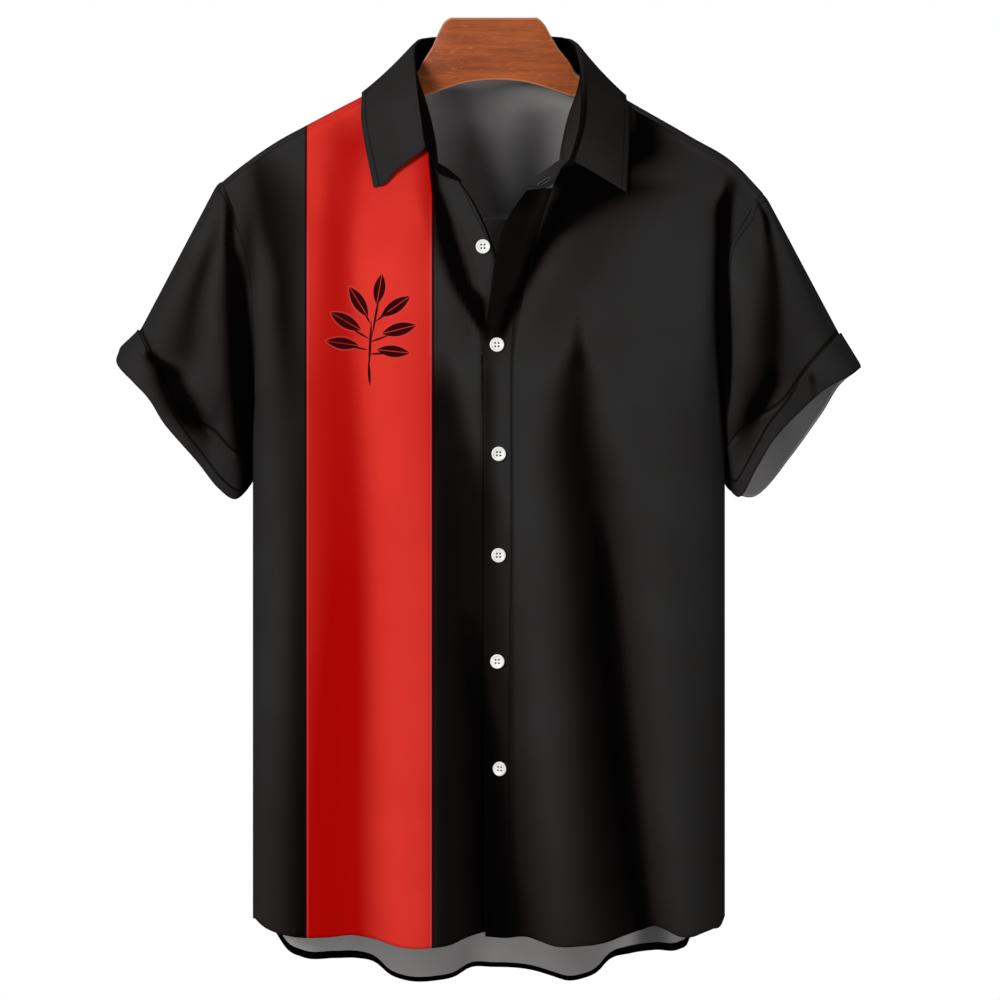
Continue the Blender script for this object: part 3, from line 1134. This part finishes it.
hanger = dict(
    x=[-215, -212, -200, -186, -159, -136, -113, -90, -74, -64, -57, -50, -43.5, -34, -24, -10, 4, 17, 30,
       41, 52, 60, 68, 76, 84, 94, 118, 146, 174, 205, 217, 220],
    low=[-148, -149, -145, -139, -124, -113, -103, -90, -80, -73, -69.2, -66.5, -64, -60.6, -57.6, -55.3,
         -54.4, -54.8, -56.2, -58.9, -62.4, -65.2, -67.8, -71, -76, -83, -103, -118, -132, -151, -161,
         -160],
    thick=[4, 6.2, 6.5, 6.5, 6.8, 7, 7.4, 7.8, 8, 8, 8, 8, 8, 8, 8, 8, 8, 8, 8,
           8, 8, 8, 8, 8, 8, 7.8, 7.4, 7, 6.8, 6.5, 6.2, 4],
    below=1.9, corner=3.0)
crest = dict(    # the part that stands up out of the neck
    x=[-64, -57, -50, -44.5, -40, -35, 6, 41, 47, 53, 60, 68, 76],
    z=[-47, -36, -25, -12, -3.5, 0, 0, 0, -4.5, -16, -27.5, -37, -48.5])
wood = dict(
    light=(0.40, 0.088, 0.017), dark=(0.15, 0.03, 0.006), speck=(0.55, 0.20, 0.06), edge=(0.62, 0.30, 0.17),
    grain=(13, 60, 190), pores=(170, 200, 620), rough=0.5, specular=0.2, bump=0.2, relief=0.0003)


def woodMaterial():
    material, tree, shader = newTree("hangerWood")
    coordinates = tree.nodes.new("ShaderNodeTexCoord").outputs
    place = coordinates["Object"]
    grain = noise(stretched(place, wood["grain"]), 1.0, 6.0, 0.72)
    cloudy = noise(place, 18.0, 2.0)
    specks = noise(stretched(place, wood["pores"]), 1.0, 3.0, 0.6)
    colour = mixColour(ramp(grain, 0.40, 0.72), wood["light"], wood["dark"])
    colour = mixColour(ramp(cloudy, 0.3, 0.7, 0.0, 0.35), colour, wood["dark"])
    colour = mixColour(ramp(specks, 0.6, 0.74, 0.0, 0.4), colour, wood["speck"])
    facing = absolute(split(coordinates["Normal"])[1])
    colour = mixColour(ramp(facing, 0.96, 0.75, 0.0, 0.8), colour, wood["edge"])
    rough = ramp(grain, 0.3, 0.7, wood["rough"] - 0.05, wood["rough"] + 0.1)
    surface(shader, colour, rough, grain, wood["bump"], wood["relief"])
    shader.inputs["Specular IOR Level"].default_value = wood["specular"]
    return material


def hangerMesh():
    stations = spread(hanger["x"], [3] * (len(hanger["x"]) - 1))
    quarterSteps = 6
    count = 4 * quarterSteps
    pts = []
    faces = []
    for x in stations:
        low = float(smooth(hanger, x, "low"))
        half = float(np.interp(x, hanger["x"], hanger["thick"]))
        if crest["x"][0] - 1 < x < crest["x"][-1] + 1:
            top = float(np.interp(x, crest["x"], crest["z"]))
        else:
            top = float(shoulder(x)) - hanger["below"]
        top = top - 3 * (max(0, 1 - abs(x + 74) / 10) + max(0, 1 - abs(x - 84) / 8))
        end = max(0, 1 - min(x - hanger["x"][0], hanger["x"][-1] - x) / 3)
        top = top - 5 * end
        low = low + 5 * end
        corner = hanger["corner"] if -60 < x < 72 else min(half * 0.92, (top - low) / 2 - 0.5)
        for i in range(count):
            quarter = i // quarterSteps
            a = math.pi / 2 * (quarter + (i % quarterSteps) / (quarterSteps - 1))
            cy = (half - corner) * (1 if quarter in (0, 3) else -1)
            cz = (top - corner) if quarter in (0, 1) else (low + corner)
            pts.append((x, cy + corner * math.cos(a), cz + corner * math.sin(a)))
    for k in range(len(stations) - 1):
        for i in range(count):
            j = (i + 1) % count
            a = k * count
            faces.append((a + i, a + j, a + count + j, a + count + i))
    faces.append(tuple(range(count))[::-1])
    last = (len(stations) - 1) * count
    faces.append(tuple(range(last, last + count)))
    return pts, faces


plainPiece("hanger", *hangerMesh(), woodMaterial(), "hanger_wood", "hanger")
print("hanger made")

# Two soft lamps, a dimmer white surround, and the camera straight in front.
light = dict(
    key=dict(at=(-2.1, -3.5, 0.8), power=150.0, size=1.2),
    fill=dict(at=(2.2, -3.4, -1.5), power=44.0, size=2.0),
    aim=(0, 0, -0.4), sky=0.22)
framing = dict(at=(0.0087, -20.0, -0.420), lens=826.8, sensor=36, farthest=60)


def areaLamp(name, at, power, size):
    lamp = bpy.data.lights.new(name, "AREA")
    lamp.energy = power
    lamp.size = size
    thing = bpy.data.objects.new(name, lamp)
    thing.location = at
    thing.rotation_euler = (Vector(light["aim"]) - Vector(at)).to_track_quat("-Z", "Y").to_euler()
    bpy.context.scene.collection.objects.link(thing)


areaLamp("keyLamp", **light["key"])
areaLamp("fillLamp", **light["fill"])
world = bpy.data.worlds.new("plainSky")
bpy.context.scene.world = world
world.use_nodes = True
sky = world.node_tree
shade = sky.nodes["Background"]
rays = sky.nodes.new("ShaderNodeLightPath").outputs["Is Camera Ray"]
feed([shade.inputs["Strength"]], ramp(rays, 0.0, 1.0, light["sky"], 1.0))
shade.inputs["Color"].default_value = (1, 1, 1, 1)

bpy.context.scene.view_settings.view_transform = "Standard"
view = bpy.data.cameras.new("camera")
view.clip_end = framing["farthest"]
view.lens = framing["lens"]
view.sensor_width = framing["sensor"]
camera = bpy.data.objects.new("camera", view)
camera.location = framing["at"]
camera.rotation_euler = (math.pi / 2, 0, 0)
bpy.context.scene.collection.objects.link(camera)
bpy.context.scene.camera = camera
